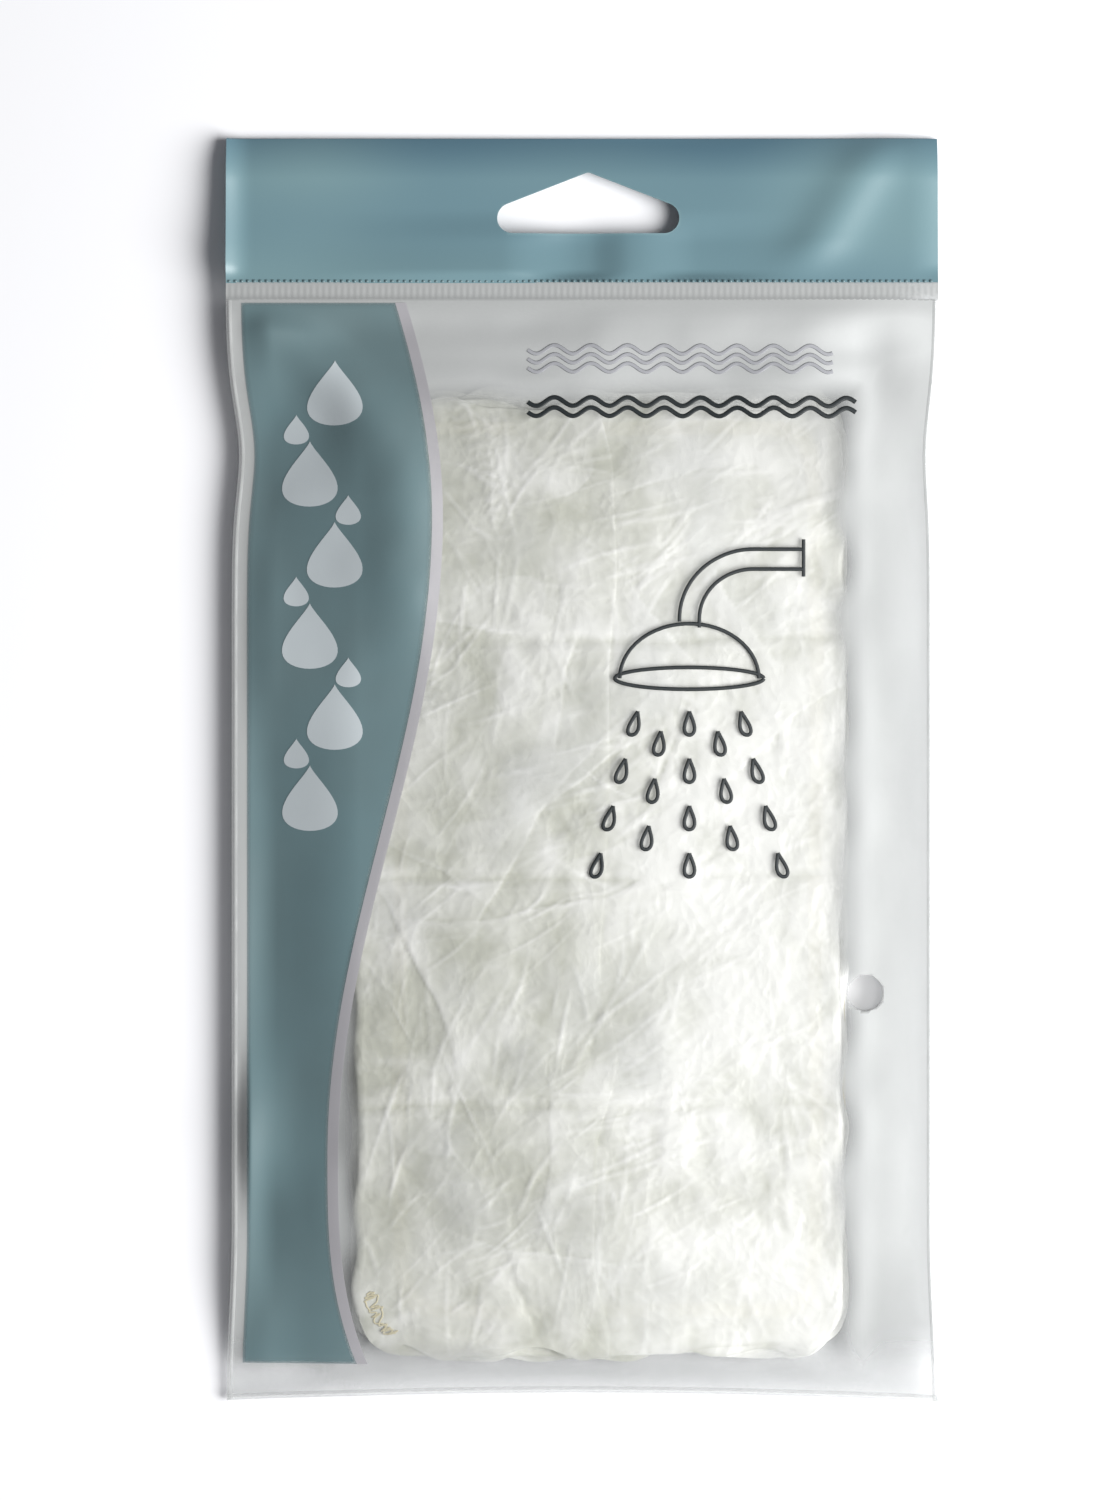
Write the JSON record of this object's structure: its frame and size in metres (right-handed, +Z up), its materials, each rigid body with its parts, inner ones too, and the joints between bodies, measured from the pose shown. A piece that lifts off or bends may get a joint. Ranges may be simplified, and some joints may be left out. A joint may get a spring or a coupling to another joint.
{
  "type": "pouch of folded shower caps",
  "caption": "Frosted film pouch with a ribbed heat seal and a hinging hang header, holding a stack of loose folded film shower caps with elastic hems.",
  "frame": {"origin": "under the middle of the pouch, on the table that its back lies on", "axes": "+X to the pouch's right as its front is seen, +Y along its length towards the header, +Z up through its thickness to the front film"},
  "size_m": [0.125, 0.222, 0.01],
  "materials": {
    "pouch_film": "frosted polyethylene film, see-through, satin",
    "weld": "frosted film melted together, satin",
    "header_film": "teal printed film, satin",
    "cap_film": "thin crumpled polyethylene film, translucent white",
    "elastic": "cream elastic band"
  },
  "bodies": {
    "pouch": {"front_film": "pouch_film", "back_film": "pouch_film", "left_side_weld": "weld", "right_side_weld": "weld", "bottom_weld": "weld", "header_crimp_seal": "weld"},
    "header": {"header_front_ply": "header_film", "header_back_ply": "header_film"},
    "cap_1": {"cap_1_film": "cap_film", "cap_1_elastic": "elastic"},
    "cap_2": {"cap_2_film": "cap_film", "cap_2_elastic": "elastic"},
    "cap_3": {"cap_3_film": "cap_film", "cap_3_elastic": "elastic"},
    "cap_4": {"cap_4_film": "cap_film", "cap_4_elastic": "elastic"}
  },
  "joints": [
    {"name": "header_fold", "type": "hinge", "parent": "pouch", "child": "header", "pos_m": [0, 0.08615, 0.004], "axis": [1, 0, 0], "range_deg": [-150, 90]},
    {"name": "cap_1_slide", "type": "slide", "parent": "pouch", "child": "cap_1", "axis": [0, 1, 0], "range_m": [0, 0.006]},
    {"name": "cap_2_slide", "type": "slide", "parent": "pouch", "child": "cap_2", "axis": [0, 1, 0], "range_m": [0, 0.006]},
    {"name": "cap_3_slide", "type": "slide", "parent": "pouch", "child": "cap_3", "axis": [0, 1, 0], "range_m": [0, 0.006]},
    {"name": "cap_4_slide", "type": "slide", "parent": "pouch", "child": "cap_4", "axis": [0, 1, 0], "range_m": [0, 0.006]}
  ]
}
